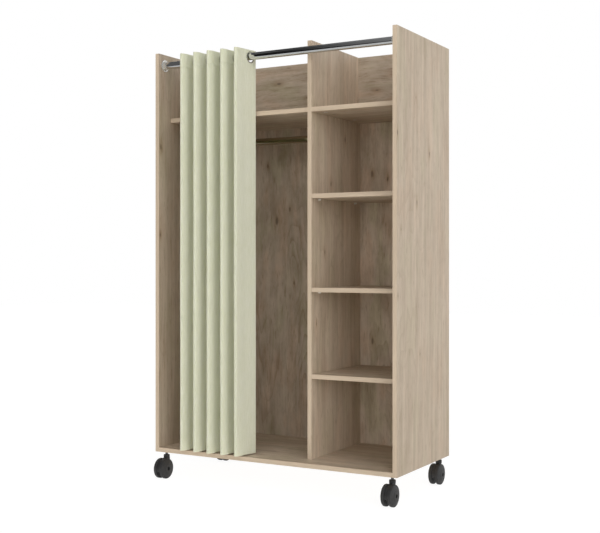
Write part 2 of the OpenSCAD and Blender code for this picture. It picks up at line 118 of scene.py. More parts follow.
class Nodes:
    """A node tree while it is being made."""

    def __init__(self, tree):
        self.tree = tree

    def add(self, kind, settings=None, sockets=None, out=0):
        """A node with its settings, then the values or links of its sockets."""
        node = self.tree.nodes.new(kind)
        for name, value in (settings or {}).items():
            setattr(node, name, value)
        for key, value in (sockets or {}).items():
            if isinstance(value, Value):
                self.tree.links.new(value.socket, node.inputs[key])
            else:
                node.inputs[key].default_value = value
        return Value(self, node.outputs[out]) if len(node.outputs) else None

    def vector(self, x, y, z):
        return self.add("ShaderNodeCombineXYZ", None, {0: x, 1: y, 2: z})

    def split(self, vector):
        node = self.add("ShaderNodeSeparateXYZ", None, {0: vector})
        return node.out("X"), node.out("Y"), node.out("Z")

    def places(self, kind="Object"):
        """The three parts of a texture coordinate."""
        return self.split(self.add("ShaderNodeTexCoord", out=kind))

    def noise(self, x, y, z, detail=2.0, roughness=0.5):
        """Smooth noise of about 0.2 to 0.8, one unit of x, y or z to a feature."""
        return self.add(
            "ShaderNodeTexNoise", {"noise_dimensions": "3D"},
            {"Vector": self.vector(x, y, z), "Scale": 1.0, "Detail": detail,
             "Roughness": roughness},
        )

    def mix(self, factor, a, b, blend="MIX"):
        """Colour a to colour b."""
        return self.add(
            "ShaderNodeMix", {"data_type": "RGBA", "blend_type": blend},
            {0: factor, 6: colour(a), 7: colour(b)}, out=2,
        )

    def bump(self, height, strength, distance):
        return self.add(
            "ShaderNodeBump", None,
            {"Height": height, "Strength": strength, "Distance": distance},
        )


def colour(value):
    """A colour as a socket takes it; a linked colour stays as it is."""
    return value if isinstance(value, Value) else (*value, 1.0)


def scaled(shade, factor):
    """A plain colour made lighter or darker."""
    return tuple(factor * c for c in shade)


def emptied(owner):
    """The node tree of a material or world, with nothing left in it."""
    owner.use_nodes = True
    owner.node_tree.nodes.clear()
    return Nodes(owner.node_tree)


def finish(name, make):
    """A material. make(nodes) gives the Principled sockets that are linked or set."""
    material = bpy.data.materials.new(name)
    nodes = emptied(material)
    shader = nodes.add("ShaderNodeBsdfPrincipled", None, make(nodes))
    nodes.add("ShaderNodeOutputMaterial", None, {"Surface": shader})
    return material


# ---- oak boards -------------------------------------------------------------------------------

OAK_LIGHT = (0.640, 0.535, 0.425)
OAK_DARK = (0.420, 0.330, 0.240)
OAK_PINK = (1.035, 0.975, 0.94)
OAK_GREEN = (0.955, 1.0, 0.93)
OAK_LINE = (0.62, 0.55, 0.47)
OAK_PORE = (0.80, 0.76, 0.70)
OAK_HALO = (0.84, 0.77, 0.68)
OAK_KNOT = (0.125, 0.092, 0.066)
EDGE_BAND = (0.640, 0.515, 0.385)
RAW_FIBREBOARD = (0.300, 0.205, 0.125)

# How much longer than wide a knot is, and the square metres of board to one random knot
KNOT_STRETCH = 2.4
KNOT_AREA = 0.09


def nearest_knot(n, u, v, knots):
    """How far across and along the nearest knot is, and its distance in knot radii."""
    place = n.vector(u, v / KNOT_STRETCH, 0.0)
    best, best_away = None, None
    for centre_u, centre_v, radius in knots:
        offset = n.add("ShaderNodeVectorMath", {"operation": "SUBTRACT"},
                       {0: place, 1: (centre_u, centre_v / KNOT_STRETCH, 0.0)})
        away = n.add("ShaderNodeVectorMath", {"operation": "LENGTH"}, {0: offset},
                     out="Value") / radius
        if best is None:
            best, best_away = offset, away
            continue
        closer = away.calc("LESS_THAN", best_away)
        best = n.add("ShaderNodeMix", {"data_type": "VECTOR"}, {0: closer, 4: best, 5: offset},
                     out=1)
        best_away = away.calc("MINIMUM", best_away)
    du, dv, _ = n.split(best)
    return du, dv * KNOT_STRETCH, best_away


def oak(across, depth, along, shift, tone_and_painted_light, figure, knots, raw_rear=False):
    """Printed oak on a board, its grain along one axis.

    The board's lightness beside the others is partly its own tone and partly painted light that
    lifts boards lying in deep shade; figure is how much its grain waves, 0 to 1.
    """

    def make(n):
        axes = dict(zip("XYZ", n.places()))
        u = axes[across] + shift[0]
        d = axes[depth]
        v = axes[along] + shift[1]

        # The grain runs round each knot
        ragged = n.noise(u * 120.0, d * 120.0, v * 60.0, detail=2.0) - 0.5
        du, dv, away = nearest_knot(n, axes[across] + ragged * 0.0030, axes[along], knots)
        core = 1 - away.rise(0.5, 1.4)
        halo = 1 - away.rise(0.9, 5.0)
        crack = (1 - abs(du).rise(0.0004, 0.0022)) * (1 - abs(dv).rise(0.006, 0.034))

        drift = n.noise(u * 3.1, d * 3.1, v * 1.5, detail=1.0) - 0.5
        wave = n.noise(u * 12.0, d * 12.0, v * 8.0, detail=2.0) - 0.5
        q = u - du * halo * 0.7 + drift * 0.040 + wave * 0.014 * figure

        field = n.noise(q * 6.0, d * 6.0, v * 1.3, detail=2.0, roughness=0.45)
        ring = (field * 19.0).calc("FRACT")
        where = n.noise(u * 5.0, d * 5.0, v * 2.2 + 7.0, detail=1.0).rise(0.46, 0.64)
        line = ring ** 3.0 * (1 - ring.rise(0.94, 1.0)) * where
        streaks = n.noise(q * 58.0, d * 58.0, v * 3.0, detail=4.0, roughness=0.58) - 0.5
        bands = n.noise(q * 20.0, d * 20.0, v * 1.6, detail=2.0) - 0.5
        mottle = n.noise(q * 26.0, d * 26.0, v * 11.0, detail=4.0, roughness=0.6) - 0.5
        flecks = n.noise(q * 210.0, d * 210.0, v * 26.0, detail=2.0).rise(0.56, 0.74)
        fibres = n.noise(q * 640.0, d * 640.0, v * 13.0, detail=2.0) - 0.5
        pores = n.noise(q * 420.0, d * 420.0, v * 17.0, detail=1.0).rise(0.60, 0.72)
        patches = n.noise(u * 17.0, d * 17.0, v * 5.0 + 3.0, detail=2.0)

        tone = (0.54 + streaks * (1.22 - 0.22 * figure) + bands * 0.70
                + mottle * (0.25 + 1.60 * figure) + fibres * 0.45)
        # Both ends of the print are scaled by the board's lightness: partly its own tone, partly
        # painted light
        oak_colour = n.mix(tone.rise(0.0, 1.0), scaled(OAK_DARK, tone_and_painted_light), scaled(OAK_LIGHT, tone_and_painted_light))
        for low, high, tint in ((0.50, 0.68, OAK_PINK), (0.50, 0.32, OAK_GREEN)):
            oak_colour = n.mix(patches.rise(low, high) * (0.35 + 0.85 * figure), oak_colour,
                               n.mix(1.0, oak_colour, tint, "MULTIPLY"))
        for amount, tint in ((line * (0.22 + 0.50 * figure), OAK_LINE), (flecks * 0.55, OAK_LINE),
                             (pores * 0.50, OAK_PORE), (halo * 0.60, OAK_HALO),
                             (crack * 0.55, OAK_LINE)):
            oak_colour = n.mix(amount, oak_colour, n.mix(1.0, oak_colour, tint, "MULTIPLY"))
        oak_colour = n.mix(core * 0.65, oak_colour, OAK_KNOT)

        # The edge band is a plainer strip, a little warmer than the faces
        facing = dict(zip("XYZ", n.places("Normal")))
        edge = 1 - abs(facing[depth]).rise(0.4, 0.6)
        band_tone = (streaks * 0.8 + fibres * 0.5).rise(-0.25, 0.25)
        band = n.mix(band_tone, scaled(EDGE_BAND, 0.90), scaled(EDGE_BAND, 1.08))
        oak_colour = n.mix(edge * 0.8, oak_colour, band)
        roughness = 0.47 + pores * 0.14 + fibres * 0.10
        height = fibres * 0.5 - pores - line * 0.3

        if raw_rear:
            rear = facing["Y"].rise(0.4, 0.6)
            speckle = n.noise(axes["X"] * 900.0, 0.0, axes["Z"] * 900.0, detail=3.0)
            cloudy = n.noise(axes["X"] * 6.0, 0.0, axes["Z"] * 6.0, detail=3.0)
            fluff = (speckle * 0.6 + cloudy * 0.4).rise(0.3, 0.7)
            raw = n.mix(fluff, scaled(RAW_FIBREBOARD, 0.78), scaled(RAW_FIBREBOARD, 1.25))
            oak_colour = n.mix(rear, oak_colour, raw)
            roughness = roughness + rear * 0.3
        return {
            "Base Color": oak_colour,
            "Roughness": roughness,
            "Normal": n.bump(height, 0.35, 0.0002),
        }

    return make


# ---- metals and plastics ----------------------------------------------------------------------


def metal(base, rough, spread, scale, metallic=1.0):
    """A metal whose polish varies a little over the surface."""

    def make(n):
        x, y, z = n.places()
        cloud = n.noise(x * scale, y * scale, z * scale, detail=3.0)
        grit = n.noise(x * 2200.0, y * 2200.0, z * 2200.0, detail=1.0)
        tint = n.mix(cloud.rise(0.3, 0.7), scaled(base, 0.95), scaled(base, 1.03))
        return {
            "Base Color": tint,
            "Metallic": metallic,
            "Roughness": rough + (cloud - 0.5) * spread,
            "Normal": n.bump(grit, 0.02 + rough * 0.1, 0.00004),
        }

    return make


def plastic(base, rough, grain, worn=0.0):
    """Moulded plastic with a fine spark-eroded grain."""

    def make(n):
        x, y, z = n.places()
        cloud = n.noise(x * 26.0, y * 26.0, z * 26.0, detail=3.0)
        pits = n.noise(x * 1500.0, y * 1500.0, z * 1500.0, detail=2.0)
        dust = n.noise(x * 160.0, y * 160.0, z * 160.0, detail=4.0).rise(0.55, 0.80)
        tint = n.mix(cloud.rise(0.3, 0.7), scaled(base, 0.85), scaled(base, 1.18))
        tint = n.mix(dust * worn, tint, tuple(0.5 * c + 0.10 for c in base))
        return {
            "Base Color": tint,
            "Roughness": rough + (cloud - 0.5) * 0.16 + pits * 0.06,
            "Normal": n.bump(pits, grain, 0.0001),
        }

    return make


def beech(n):
    """Dowel wood, grain along X with a few fluted lines."""
    x, y, z = n.places()
    fibre = n.noise(x * 30.0, y * 900.0, z * 900.0, detail=2.0)
    tint = n.mix(fibre.rise(0.3, 0.7), (0.46, 0.30, 0.17), (0.62, 0.44, 0.27))
    return {"Base Color": tint, "Roughness": 0.62 + fibre * 0.1,
            "Normal": n.bump(fibre, 0.3, 0.0002)}


# ---- curtain cloth ----------------------------------------------------------------------------

CLOTH_LIGHT = (0.765, 0.770, 0.640)
CLOTH_DARK = (0.650, 0.665, 0.505)
THREAD = 0.00055


def cloth_weave(n):
    """A plain weave with slubs, read from the unrolled cloth in metres."""
    u, v, _ = n.split(n.add("ShaderNodeUVMap", {"uv_map": "cloth"}))
    warp = (u * (math.pi / THREAD)).calc("SINE")
    weft = (v * (math.pi / THREAD)).calc("SINE")
    over = (warp * weft).rise(-0.4, 0.4)
    threads = over * abs(warp) + (1 - over) * abs(weft)
    slub_across = n.noise(u * 110.0, v * 1500.0, 0.0, detail=2.0, roughness=0.6)
    slub_down = n.noise(u * 1500.0, v * 90.0, 4.0, detail=2.0, roughness=0.6)
    heather = n.noise(u * 420.0, v * 420.0, 9.0, detail=2.0)
    streaks = n.noise(u * 230.0, v * 22.0, 6.0, detail=3.0, roughness=0.6)
    clouds = n.noise(u * 9.0, v * 5.0, 2.0, detail=2.0)
    tone = (slub_across * 0.30 + slub_down * 0.30 + heather * 0.22 + streaks * 0.45
            + clouds * 0.12 + threads * 0.16 - 0.28)
    return {
        "Base Color": n.mix(tone.rise(0.30, 0.70), CLOTH_DARK, CLOTH_LIGHT),
        "Roughness": 0.86 + threads * 0.08,
        "Subsurface Weight": 1.0,
        "Subsurface Radius": (1.0, 1.0, 0.95),
        "Subsurface Scale": 0.0018,
        "Sheen Weight": 0.25,
        "Sheen Roughness": 0.5,
        "Sheen Tint": (0.93, 0.96, 0.86, 1.0),
        "Specular IOR Level": 0.25,
        "Normal": n.bump(threads * 0.6 + slub_across * 0.5 + slub_down * 0.5, 0.5, 0.0003),
    }


def thread_finish(n):
    """Sewing thread, two plies twisted together."""
    x, y, z = n.places()
    ply = ((x + y + z) * 9000.0).calc("SINE")
    return {
        "Base Color": n.mix(ply.rise(-1.0, 1.0), (0.52, 0.55, 0.41), (0.68, 0.70, 0.56)),
        "Roughness": 0.7 + ply * 0.05,
        "Normal": n.bump(ply, 0.2, 0.0001),
    }


# Metals: colour, roughness, how much that varies and in how many patches a metre. Plastics:
# colour, roughness, depth of the grain.
FINISHES = {
    "chrome": metal((0.72, 0.73, 0.74), 0.07, 0.05, 9.0),
    # The hanging rail's chrome is darker and olive-brown: a painted reflection of the dark interior
    # it hangs in
    "chrome_with_painted_dark_reflection": metal((0.46, 0.42, 0.33), 0.16, 0.05, 9.0),
    "satin_zinc": metal((0.80, 0.79, 0.76), 0.26, 0.12, 60.0, metallic=0.70),
    "cam_zinc": metal((0.74, 0.73, 0.70), 0.38, 0.16, 140.0, metallic=0.4),
    "eyelet_metal": metal((0.50, 0.50, 0.42), 0.30, 0.08, 80.0, metallic=0.85),
    "stem_steel": metal((0.16, 0.16, 0.165), 0.34, 0.12, 120.0),
    "axle_steel": metal((0.42, 0.42, 0.42), 0.30, 0.12, 120.0),
    "castor_hood": plastic((0.026, 0.026, 0.027), 0.46, 0.25, worn=0.05),
    "castor_wheel": plastic((0.031, 0.031, 0.032), 0.50, 0.20, worn=0.10),
    "shelf_pin": plastic((0.84, 0.81, 0.75), 0.42, 0.10),
    "dowel_beech": beech,
    "cloth": cloth_weave,
    "thread": thread_finish,
}
MATERIALS = {name: finish(name, make) for name, make in FINISHES.items()}

# Axes across, through and along each kind of board, and how much its figure waves; then each
# board's kind, its place in the print and its lightness, which is partly the board's own tone and
# partly painted light: boards in deep shade are lifted and a few others darkened
UPRIGHT = ("Y", "X", "Z")
SHELF = ("Y", "Z", "X")
RAIL = ("Z", "Y", "X")
BACK = ("X", "Y", "Z")
FIGURE = {UPRIGHT: 0.15, SHELF: 0.3, RAIL: 0.8, BACK: 0.9}
BOARDS = {
    "left_side_panel": (UPRIGHT, (3.1, 1.7), 0.94),
    "right_side_panel": (UPRIGHT, (0.35, 5.2), 0.985),
    "divider_panel": (UPRIGHT, (7.4, 9.6), 1.14),
    "bottom_panel": (SHELF, (2.3, 4.1), 1.08),
    "hat_shelf": (SHELF, (5.9, 8.3), 1.1),
    "column_top_shelf": (SHELF, (9.2, 2.6), 1.04),
    "upper_shelf": (SHELF, (11.7, 6.4), 1.0),
    "middle_shelf": (SHELF, (14.6, 3.3), 0.97),
    "lower_shelf": (SHELF, (17.1, 7.9), 1.0),
    "hanging_back_rail": (RAIL, (19.8, 5.5), 0.94),
    "column_back_rail": (RAIL, (22.4, 1.2), 0.9),
    "hanging_back_panel": (BACK, (25.3, 9.1), 0.95),
    "column_back_panel": (BACK, (28.7, 4.7), 1.1),
}

# Knots that show from the front: their place across and along the board, and their radius
KNOTS = {
    "left_side_panel": [(-0.204, 1.254, 0.0050), (-0.208, 0.920, 0.0030)],
    "right_side_panel": [
        (-0.212, 1.249, 0.0040), (0.063, 1.202, 0.0034), (-0.049, 1.024, 0.0036),
        (-0.057, 1.386, 0.0020), (-0.183, 0.929, 0.0024), (-0.022, 0.498, 0.0028),
        (-0.208, 0.705, 0.0020),
    ],
    "divider_panel": [(0.120, 1.278, 0.0042), (0.007, 1.105, 0.0040), (-0.040, 0.854, 0.0034),
                      (-0.104, 0.596, 0.0026)],
    "hanging_back_panel": [(-0.243, 0.984, 0.0066), (-0.286, 1.209, 0.0036),
                           (-0.182, 1.030, 0.0040), (-0.163, 0.733, 0.0030)],
    "column_back_panel": [(0.184, 1.157, 0.0052), (0.250, 1.135, 0.0036),
                          (0.186, 0.513, 0.0052)],
    "hanging_back_rail": [(1.536, -0.224, 0.0040), (1.470, -0.090, 0.0030)],
    "column_back_rail": [(1.476, 0.213, 0.0030)],
}


def scattered_knots(board, across, along):
    """Knots at random over a board that the photograph hardly shows."""
    low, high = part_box(board)
    u, v = "XYZ".index(across), "XYZ".index(along)
    pick = random.Random(board)
    count = max(1, round((high[u] - low[u]) * (high[v] - low[v]) / KNOT_AREA))
    return [(pick.uniform(low[u], high[u]), pick.uniform(low[v], high[v]),
             pick.uniform(0.0022, 0.0042)) for _ in range(count)]


for board, (grain, shift, tone_and_painted_light) in BOARDS.items():
    knots = KNOTS.get(board) or scattered_knots(board, grain[0], grain[2])
    MATERIALS[board] = finish(board, oak(*grain, shift, tone_and_painted_light, FIGURE[grain], knots, grain is BACK))

FINISH_OF = {
    "curtain_rod": "chrome",
    "hanging_rail": "chrome_with_painted_dark_reflection",
    "curtain_rod_flange_left": "satin_zinc",
    "curtain_rod_flange_right": "satin_zinc",
    "hanging_rail_flange_left": "satin_zinc",
    "hanging_rail_flange_right": "satin_zinc",
    "shelf_pins": "shelf_pin",
    "cam_locks": "cam_zinc",
    "cam_bolts": "cam_zinc",
    "dowels": "dowel_beech",
    "castor_inserts": "cam_zinc",
    "castor_stems": "stem_steel",
    "curtain": "cloth",
}


def finish_of(node):
    if node in BOARDS:
        return node
    if node.startswith("eyelet"):
        return "eyelet_metal"
    if node.startswith("castor_"):
        for ending, name in (("hood", "castor_hood"), ("axle", "axle_steel"),
                             ("wheel_left", "castor_wheel"), ("wheel_right", "castor_wheel")):
            if node.endswith(ending):
                return name
    return FINISH_OF[node]


for node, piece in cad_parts.items():
    for slot in piece.material_slots:
        slot.material = MATERIALS[finish_of(node)]


# ---- the cloth's wave -------------------------------------------------------------------------

# Carcass millimetres. Seen from above, the cloth turns on circles at its folds and runs straight
# between them along their inner tangents, its flanks. The two end flanks run on to END_Y.
FOLDS = 5
PITCH = 59.3
FIRST_FOLD_X = 145.0
FOLD_R = 6.5
FRONT_Y = -29.9
BACK_Y = 62.9
END_Y = 66.0
CLOTH_LOW = 21.0
CLOTH_TOP = 1488.5
ROD_Y = 37.0
EYELET_Z = 1461.3

# Half the square of the mesh round each hole, and the hole
EYELET_BLOCK = 23.0
CLOTH_HOLE_R = 18.8

RUN = BACK_Y - FRONT_Y
LEAN = math.atan2(PITCH / 2, RUN) - math.asin(2 * FOLD_R / math.hypot(PITCH / 2, RUN))
FLANK = math.sqrt((PITCH / 2) ** 2 + RUN**2 - (2 * FOLD_R) ** 2)
ROD_FLANK = (ROD_Y - FRONT_Y + FOLD_R * math.sin(LEAN)) / math.cos(LEAN)
END_FLANK = (END_Y - FRONT_Y + FOLD_R * math.sin(LEAN)) / math.cos(LEAN)
FOLD_TURN = math.pi - 2 * LEAN
FOLD_L = FOLD_R * FOLD_TURN

# Widths of the hems, how far inside them the seams lie, and half the thickness of each place
SIDE_HEM = 15.0
LOW_HEM = 10.0
HEADER = 52.0
SEAM_IN = 2.0
CLOTH_HALF = 0.5
HEM_HALF = 0.8
SEAM_HALF = 0.62

# How far the cloth sways at random: not at all beside an eyelet, in full further off, and by the
# share SWAY_LESS_UP less between the two heights
SWAY = 1.0
SWAY_FROM_EYELET = (28.0, 150.0)
SWAY_HEIGHTS = (200.0, 1300.0)
SWAY_LESS_UP = 0.45

# How far and over what length each flank swings behind its front fold, the share of that on the
# last flank, from where to where off an eyelet it grows, and off the fold it fades to nothing
BELLY = 2.3
BELLY_L = 61.0
LAST_BELLY = 0.3
BELLY_FROM_EYELET = (24.0, 64.0)
BELLY_FADES = (40.0, 80.0)

# Steps of the mesh: in a fold, down the plain cloth, and beside each ridge of a hem
FOLD_STEPS = 8
CLOTH_ROWS = 76
RIDGE = 0.4


def cloth_run():
    """Each stretch of the unrolled cloth from left to right, and the length of all.

    A stretch is its start, length, turn, x, y and heading.
    """
    x = FIRST_FOLD_X - FOLD_R * math.cos(LEAN) - END_FLANK * math.sin(LEAN)
    y, heading, start = END_Y, LEAN - math.pi / 2, 0.0
    plan = [(END_FLANK, 0)]
    for k in range(FOLDS):
        plan.append((FOLD_L, 1))
        if k < FOLDS - 1:
            plan += [(FLANK, 0), (FOLD_L, -1), (FLANK, 0)]
    plan.append((END_FLANK, 0))
    stretches = []
    for length, turn in plan:
        stretches.append((start, length, turn, x, y, heading))
        x, y, heading = along_stretch(stretches[-1], length)
        start += length
    return stretches, start


def along_stretch(stretch, t):
    """Place and heading at distance t along a flank (turn 0) or a fold (turn 1 or -1)."""
    _, _, turn, x, y, heading = stretch
    if turn == 0:
        return x + t * math.cos(heading), y + t * math.sin(heading), heading
    after = heading + turn * t / FOLD_R
    cx = x - turn * FOLD_R * math.sin(heading)
    cy = y + turn * FOLD_R * math.cos(heading)
    return cx + turn * FOLD_R * math.sin(after), cy - turn * FOLD_R * math.cos(after), after


STRETCHES, CLOTH_L = cloth_run()
FOLD_STARTS = [s[0] for s in STRETCHES if s[2] == 1]
EYELET_S = sorted([s - ROD_FLANK for s in FOLD_STARTS]
                  + [s + FOLD_L + ROD_FLANK for s in FOLD_STARTS])


def smooth(low, high, value):
    t = min(1.0, max(0.0, (value - low) / (high - low)))
    return t * t * (3 - 2 * t)


def hem_depth(s, z):
    """How far a point lies inside the widest hem; negative on plain cloth."""
    return max(SIDE_HEM - min(s, CLOTH_L - s), LOW_HEM - (z - CLOTH_LOW),
               HEADER - (CLOTH_TOP - z))


def half_thickness(s, z):
    depth = hem_depth(s, z)
    at_edge = min(s, CLOTH_L - s, z - CLOTH_LOW, CLOTH_TOP - z) < 0.01
    if at_edge or depth < 0:
        return CLOTH_HALF
    return SEAM_HALF if abs(depth - SEAM_IN) < 0.2 else HEM_HALF


def runs_to_front(start, length):
    """Whether a flank ends at a front fold, rather than starting there."""
    return start + length in FOLD_STARTS


def belly(stretch, t, near):
    """How far a flank swings out behind its front fold and in again, clear of the eyelets."""
    start, length, turn, *_ = stretch
    if turn:
        return 0.0
    from_front = length - t if runs_to_front(start, length) else t
    last = LAST_BELLY if length > FLANK + 1 and start > 0 else 1.0
    swing = math.sin(2 * math.pi * from_front / BELLY_L) * (1 - smooth(*BELLY_FADES, from_front))
    return last * BELLY * swing * smooth(*BELLY_FROM_EYELET, near)


def cloth_point(s, z, side=0, lift=0.0):
    """A point of the hung cloth. side is 1 on the front face, -1 on the back, 0 in the middle."""
    stretch = next(t for t in STRETCHES if s <= t[0] + t[1] + 1e-6)
    x, y, heading = along_stretch(stretch, s - stretch[0])
    near = min(math.hypot(s - e, z - EYELET_Z) for e in EYELET_S)
    free = smooth(*SWAY_FROM_EYELET, near) * (1.0 - SWAY_LESS_UP * smooth(*SWAY_HEIGHTS, z))
    sway = SWAY * free * noise.noise(Vector((s / 75.0, z / 430.0, 1.3)))
    sway += 0.5 * SWAY * free * noise.noise(Vector((s / 31.0, z / 170.0, 5.1)))
    out = belly(stretch, s - stretch[0], near) + sway + side * (half_thickness(s, z) + lift)
    return carcass(x + out * math.sin(heading), y - out * math.cos(heading), z)


def cloth_columns():
    """Where the mesh has columns: round folds, along swinging flanks, at eyelets and hems."""
    columns = set()
    for start, length, turn, *_ in STRETCHES:
        if turn:
            columns.update(start + length * i / FOLD_STEPS for i in range(FOLD_STEPS + 1))
            continue
        to_front = runs_to_front(start, length)
        marks = [0.0, 7.0, 14.0, 21.0, 29.0, 37.0, length]
        marks += [ROD_FLANK + EYELET_BLOCK * i / 3 for i in range(-3, 4)]
        if length > FLANK + 1:
            marks += [length - SIDE_HEM - RIDGE, length - SIDE_HEM + RIDGE,
                      length - SIDE_HEM + SEAM_IN]
        columns.update(start + (length - m if to_front else m) for m in marks)
    return tidy_marks(columns)


def cloth_rows():
    """Where the mesh has rows: closer at the hems and eyelets, even over the plain cloth."""
    hem = CLOTH_LOW + LOW_HEM
    header = CLOTH_TOP - HEADER
    rows = {CLOTH_LOW, CLOTH_LOW + 1.5, CLOTH_LOW + 12, CLOTH_LOW + 24, hem - SEAM_IN,
            hem - RIDGE, hem + RIDGE, header - RIDGE, header + RIDGE, header + SEAM_IN,
            CLOTH_TOP - 1.5, CLOTH_TOP}
    rows.update(EYELET_Z + EYELET_BLOCK * i / 3 for i in range(-3, 4))
    rows.update(hem + 8 + (header - hem - 16) * i / CLOTH_ROWS for i in range(CLOTH_ROWS + 1))
    return tidy_marks(rows)


def tidy_marks(marks):
    """Sorted marks without near doubles."""
    kept = []
    for mark in sorted(marks):
        if not kept or mark - kept[-1] > 0.05:
            kept.append(mark)
    return kept


def curtain_mesh():
    """Both faces of the cloth with its ten holes, closed round every edge."""
    columns, rows = cloth_columns(), cloth_rows()
    flat = [(s, z) for z in rows for s in columns]
    index = {(i, j): j * len(columns) + i for j in range(len(rows)) for i in range(len(columns))}

    def nearest(marks, value):
        return min(range(len(marks)), key=lambda i: abs(marks[i] - value))

    j0, j1 = nearest(rows, EYELET_Z - EYELET_BLOCK), nearest(rows, EYELET_Z + EYELET_BLOCK)
    blocks = [(nearest(columns, e - EYELET_BLOCK), nearest(columns, e + EYELET_BLOCK), e)
              for e in EYELET_S]
    cut = {(i, j) for i0, i1, _ in blocks for i in range(i0, i1) for j in range(j0, j1)}
    faces = [(index[i, j], index[i + 1, j], index[i + 1, j + 1], index[i, j + 1])
             for j in range(len(rows) - 1) for i in range(len(columns) - 1) if (i, j) not in cut]
    for i0, i1, e in blocks:
        loop = [(i, j0) for i in range(i0, i1)] + [(i1, j) for j in range(j0, j1)]
        loop += [(i, j1) for i in range(i1, i0, -1)] + [(i0, j) for j in range(j1, j0, -1)]
        first = len(flat)
        for i, j in loop:
            a = math.atan2(rows[j] - EYELET_Z, columns[i] - e)
            flat.append((e + CLOTH_HOLE_R * math.cos(a), EYELET_Z + CLOTH_HOLE_R * math.sin(a)))
        for m in range(len(loop)):
            n = (m + 1) % len(loop)
            faces.append((index[loop[m]], index[loop[n]], first + n, first + m))

    count = len(flat)
    points = [cloth_point(s, z, side) for side in (1, -1) for s, z in flat]
    edges = {(f[k], f[(k + 1) % 4]) for f in faces for k in range(4)}
    walls = [(b, a, a + count, b + count) for a, b in edges if (b, a) not in edges]
    walls.sort()
    backs = [tuple(count + v for v in reversed(f)) for f in faces]
    mesh = bpy.data.meshes.new("curtain_cloth")
    mesh.from_pydata(points, [], faces + backs + walls)
    uv = mesh.uv_layers.new(name="cloth")
    for loop in mesh.loops:
        s, z = flat[loop.vertex_index % count]
        uv.data[loop.index].uv = (s * MM, z * MM)
    mesh.polygons.foreach_set("use_smooth", [True] * len(mesh.polygons))
    mesh.set_sharp_from_angle(angle=math.radians(50))
    mesh.materials.append(MATERIALS["cloth"])
    mesh.update()
    return mesh


def new_piece(name, mesh):
    piece = bpy.data.objects.new(name, mesh)
    bpy.context.scene.collection.objects.link(piece)
    return piece


# ---- repeated small parts ---------------------------------------------------------------------


def geometry_tree(name, inputs):
    """A Geometry Nodes tree with named inputs, its Nodes, and the inputs as Values."""
    tree = bpy.data.node_groups.new(name, "GeometryNodeTree")
    tree.interface.new_socket("Geometry", in_out="INPUT", socket_type="NodeSocketGeometry")
    tree.interface.new_socket("Geometry", in_out="OUTPUT", socket_type="NodeSocketGeometry")
    for label, kind, default in inputs:
        item = tree.interface.new_socket(label, in_out="INPUT", socket_type=kind)
        if default is not None:
            item.default_value = default
    nodes = Nodes(tree)
    start = nodes.add("NodeGroupInput")
    values = {"Geometry": start.out("Geometry")}
    values.update({label: start.out(label) for label, _, _ in inputs})
    return tree, nodes, values


def close_tree(nodes, geometry, material):
    solid = nodes.add("GeometryNodeRealizeInstances", None, {"Geometry": geometry})
    coloured = nodes.add("GeometryNodeSetMaterial", None, {"Geometry": solid, "Material": material})
    nodes.add("NodeGroupOutput", None, {"Geometry": coloured})


def grown(name, mesh, tree, values):
    """A piece whose mesh is what the tree makes of the given one, as a plain mesh."""
    piece = new_piece(name, mesh)
    modifier = piece.modifiers.new(tree.name, "NODES")
    modifier.node_group = tree
    for item in tree.interface.items_tree:
        if item.in_out == "INPUT" and item.name in values:
            modifier[item.identifier] = values[item.name]
    graph = bpy.context.evaluated_depsgraph_get()
    made = bpy.data.meshes.new_from_object(piece.evaluated_get(graph), depsgraph=graph)
    piece.modifiers.clear()
    piece.data = made
    made.name = name
    return piece


def bead_tree():
    """Beads at an even spacing along lines, each turned to the line's facing attribute."""
    tree, n, v = geometry_tree("beads_along_lines", [
        ("Spacing", "NodeSocketFloat", 0.004),
        ("Size", "NodeSocketVector", (0.001, 0.001, 0.001)),
        ("Segments", "NodeSocketInt", 6),
        ("Rings", "NodeSocketInt", 4),
        ("Uneven", "NodeSocketFloat", 0.1),
        ("Seed", "NodeSocketInt", 7),
        ("Material", "NodeSocketMaterial", None),
    ])
    curve = n.add("GeometryNodeMeshToCurve", None, {"Mesh": v["Geometry"]})
    points = n.add("GeometryNodeResampleCurve", {"mode": "LENGTH"},
                   {"Curve": curve, "Length": v["Spacing"]})
    bead = n.add("GeometryNodeMeshUVSphere", None,
                 {"Segments": v["Segments"], "Rings": v["Rings"], "Radius": 1.0})
    bead = n.add("GeometryNodeSetShadeSmooth", None, {"Geometry": bead})
    bead = n.add("GeometryNodeTransform", None, {"Geometry": bead, "Scale": v["Size"]})
    facing = n.add("GeometryNodeInputNamedAttribute", {"data_type": "FLOAT_VECTOR"},
                   {"Name": "facing"})
    turn = n.add("FunctionNodeAlignRotationToVector", {"axis": "Z"}, {"Vector": facing})
    change = n.add("FunctionNodeRandomValue", {"data_type": "FLOAT"},
                   {2: 1 - v["Uneven"], 3: 1 + v["Uneven"], "Seed": v["Seed"]}, out=1)
    beads = n.add("GeometryNodeInstanceOnPoints", None,
                  {"Points": points, "Instance": bead, "Rotation": turn, "Scale": change})
    close_tree(n, beads, v["Material"])
    return tree


